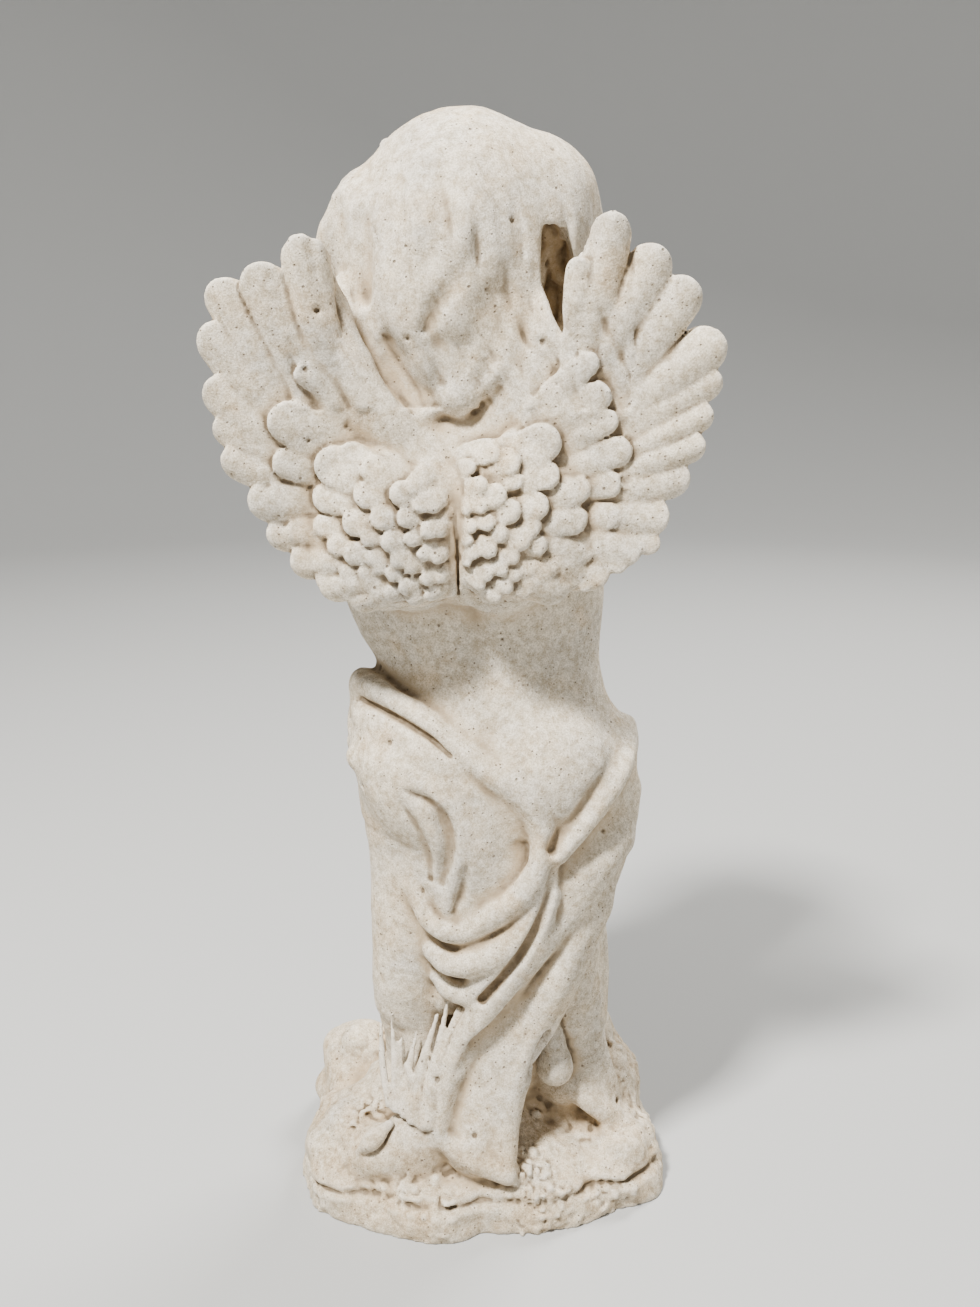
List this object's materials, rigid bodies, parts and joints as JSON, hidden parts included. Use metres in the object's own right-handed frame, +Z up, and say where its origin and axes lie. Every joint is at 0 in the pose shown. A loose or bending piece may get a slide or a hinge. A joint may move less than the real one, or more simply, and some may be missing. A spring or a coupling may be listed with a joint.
{
  "type": "stone putto statue",
  "caption": "Garden statue of a winged child in a hip cloth, standing on a rough rock, cast in one piece of pale stone to stand on the ground.",
  "frame": {"origin": "on the flat underside of the rock, below the figure", "axes": "+Z up through the head, the figure faces -Y and its wings spread along X"},
  "size_m": [0.2489, 0.1763, 0.6039],
  "materials": {
    "cast_stone": "matte, pale buff with grey patches, small air holes and dirt in the hollows"
  },
  "bodies": {
    "root": {"putto_statue": "cast_stone"}
  },
  "joints": []
}
